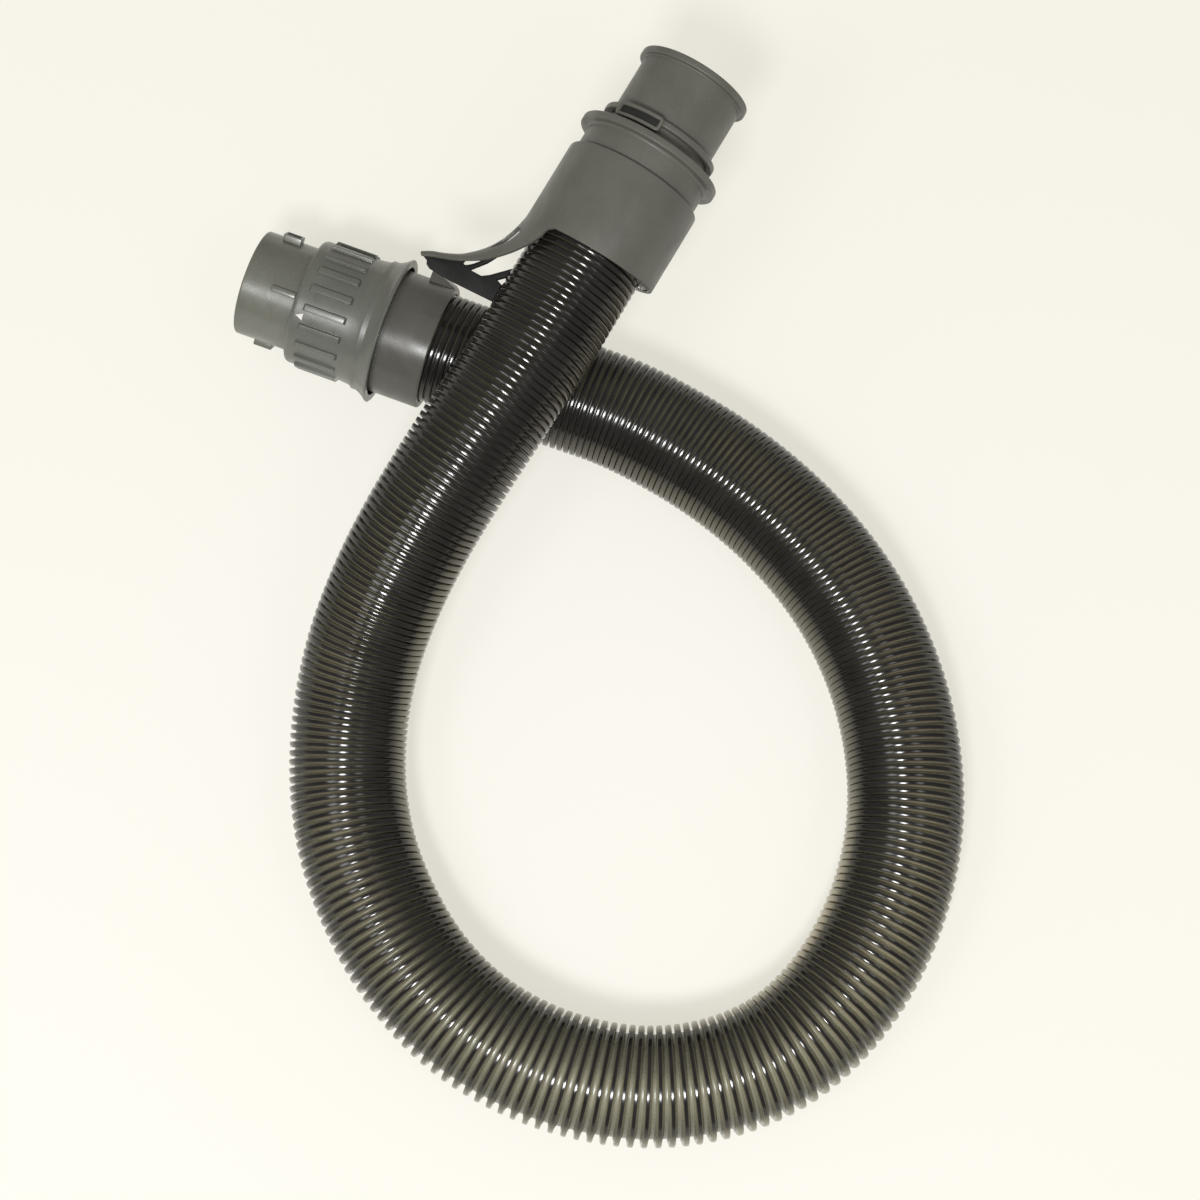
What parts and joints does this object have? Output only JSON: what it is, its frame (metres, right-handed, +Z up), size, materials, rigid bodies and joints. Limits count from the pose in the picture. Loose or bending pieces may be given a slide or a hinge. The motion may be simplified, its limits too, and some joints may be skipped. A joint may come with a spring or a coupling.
{
  "type": "vacuum cleaner stretch hose with end fittings",
  "caption": "Flexible ribbed suction hose lying in a loop, with a swivelling collar and spigot at one end and a swivelling duct fitting with a cable-guide horn at the other.",
  "frame": {"origin": "on the floor, under the middle of the box round the two end fittings", "axes": "+X to the right and +Y away from the viewer of the picture, +Z up; the wand fitting points to the left, the hose's loop lies towards the viewer"},
  "size_m": [0.3184, 0.4583, 0.1251],
  "materials": {
    "hose_black": "glossy, ribbed",
    "grey_plastic": "satin",
    "cool_grey_plastic": "satin",
    "horn_grey_plastic": "satin",
    "natural_plastic": "matt",
    "seal_rubber": "matt",
    "spring_steel": "plain",
    "white_print": "matt"
  },
  "bodies": {
    "hose": {"stretch_hose": "hose_black", "wand_cuff": "grey_plastic", "wand_ferrule": "natural_plastic", "wand_lip_seal": "seal_rubber", "wand_bearing_ring": "natural_plastic", "machine_cuff": "cool_grey_plastic", "machine_ferrule": "natural_plastic", "machine_lip_seal": "seal_rubber", "machine_bearing_ring": "natural_plastic", "horn_sleeve": "horn_grey_plastic", "sleeve_screw_right": "spring_steel", "sleeve_screw_left": "spring_steel"},
    "wand_end": {"wand_spigot": "grey_plastic", "grip_collar": "cool_grey_plastic", "alignment_mark": "white_print", "wand_snap_ring": "spring_steel"},
    "machine_end": {"duct_tube": "grey_plastic", "swivel_flange": "grey_plastic", "catch_ring": "grey_plastic", "machine_snap_ring": "spring_steel"}
  },
  "joints": [
    {"name": "wand_swivel", "type": "hinge", "parent": "hose", "child": "wand_end", "pos_m": [-0.0392, -0.0364, 0.0329], "axis": [-0.94, 0.336, 0.06], "continuous": true},
    {"name": "machine_swivel", "type": "hinge", "parent": "hose", "child": "machine_end", "pos_m": [0.0571, -0.0011, 0.0892], "axis": [0.5114, 0.851, 0.1199], "continuous": true}
  ]
}
